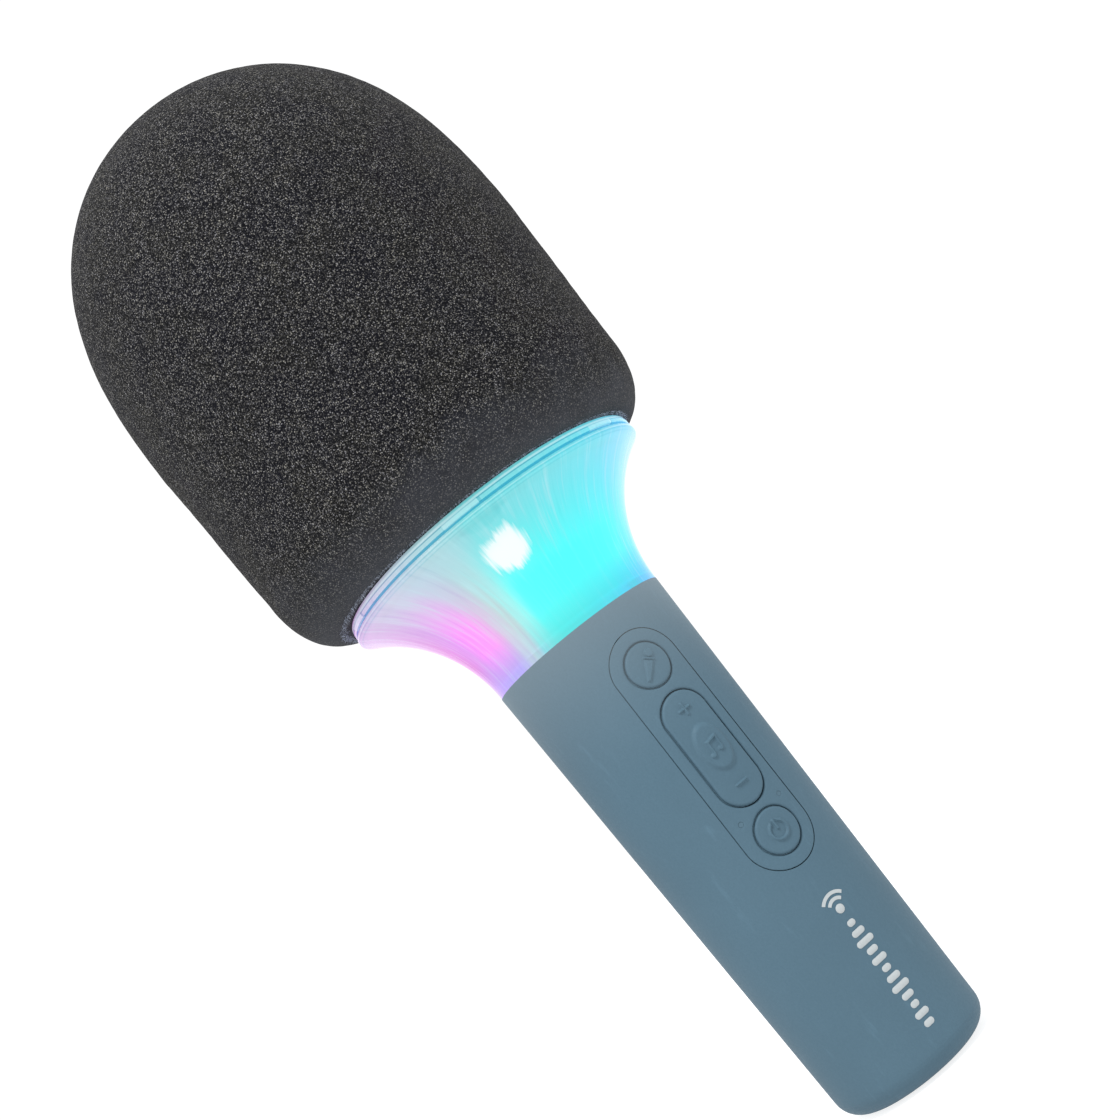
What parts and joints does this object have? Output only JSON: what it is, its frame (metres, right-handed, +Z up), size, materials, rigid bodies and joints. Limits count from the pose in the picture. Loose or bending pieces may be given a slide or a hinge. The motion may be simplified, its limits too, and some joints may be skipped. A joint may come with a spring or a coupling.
{
  "type": "toy microphone",
  "caption": "Toy karaoke microphone with a tapered handle, side keypad, flared clear light cone and a pull-off foam windscreen over a speaker and capsule.",
  "frame": {"origin": "centre of the base pad's underside, the microphone standing upright", "axes": "+Z up along the handle's axis towards the foam head, -Y out of the keypad, +Y out of the charging port"},
  "size_m": [0.088, 0.088, 0.2365],
  "materials": {
    "slate_shell": "matte",
    "slate_bezel": "matte",
    "slate_keys": "matte",
    "base_rubber": "matte",
    "screw_steel": "satin",
    "dark_plastic": "matte",
    "cell_sleeve": "satin",
    "contact_metal": "satin",
    "board_green": "satin",
    "board_white": "satin",
    "black_plastic": "satin",
    "light_pipe": "gloss",
    "led_white": "gloss",
    "port_metal": "satin",
    "clear_plastic": "gloss",
    "milky_diffuser": "satin",
    "wire_sheath": "satin",
    "speaker_steel": "satin",
    "speaker_ferrite": "satin",
    "speaker_rubber": "matte",
    "speaker_paper": "matte",
    "boot_rubber": "matte",
    "capsule_metal": "satin",
    "cable_sheath": "satin",
    "connector_nylon": "satin",
    "windscreen_foam": "matte"
  },
  "bodies": {
    "handle": {"handle_shell": "slate_shell", "keypad_bezel": "slate_bezel", "base_pad": "base_rubber", "base_screws": "screw_steel", "neck_screws": "screw_steel", "baffle_screws": "screw_steel", "chassis": "dark_plastic", "baffle_plate": "dark_plastic", "basket_rings": "dark_plastic", "basket_ribs": "dark_plastic", "basket_dome": "dark_plastic", "battery_cell": "cell_sleeve", "battery_contacts": "contact_metal", "button_board": "board_green", "main_board": "board_green", "led_board": "board_white", "tact_switches": "black_plastic", "board_chips": "black_plastic", "board_header": "black_plastic", "status_light_pipes": "light_pipe", "status_leds": "led_white", "rgb_leds": "led_white", "usb_c_port": "port_metal", "light_cone": "clear_plastic", "clamp_ring": "clear_plastic", "diffuser": "milky_diffuser", "wire_harness": "wire_sheath", "speaker_frame": "speaker_steel", "speaker_magnet": "speaker_ferrite", "speaker_surround": "speaker_rubber", "capsule_boot": "boot_rubber", "mic_capsule": "capsule_metal", "capsule_cable": "cable_sheath", "cable_connector": "connector_nylon"},
    "effect_button": {"effect_button": "slate_keys"},
    "mode_plunger": {"mode_plunger": "black_plastic"},
    "volume_rocker": {"volume_rocker": "slate_keys"},
    "power_button": {"power_button": "slate_keys"},
    "speaker_diaphragm": {"speaker_diaphragm": "speaker_paper"},
    "foam_windscreen": {"foam_windscreen": "windscreen_foam"}
  },
  "joints": [
    {"name": "effect_press", "type": "slide", "parent": "handle", "child": "effect_button", "axis": [0, 1, 0], "range_m": [0, 0.0005], "stiffness_N_per_m": 1500},
    {"name": "mode_press", "type": "slide", "parent": "handle", "child": "mode_plunger", "axis": [0, 1, 0], "range_m": [0, 0.0005], "stiffness_N_per_m": 1500},
    {"name": "volume_tilt", "type": "hinge", "parent": "mode_plunger", "child": "volume_rocker", "pos_m": [0, -0.0142, 0.069], "axis": [1, 0, 0], "range_deg": [-1.8, 1.8], "stiffness_Nm_per_rad": 0.4},
    {"name": "power_press", "type": "slide", "parent": "handle", "child": "power_button", "axis": [0, 1, 0], "range_m": [0, 0.0005], "stiffness_N_per_m": 1500},
    {"name": "diaphragm_throw", "type": "slide", "parent": "handle", "child": "speaker_diaphragm", "axis": [0, 0, 1], "range_m": [-0.0006, 0.0006], "stiffness_N_per_m": 1500},
    {"name": "windscreen_lift", "type": "slide", "parent": "handle", "child": "foam_windscreen", "axis": [0, 0, 1], "range_m": [0, 0.1]}
  ]
}
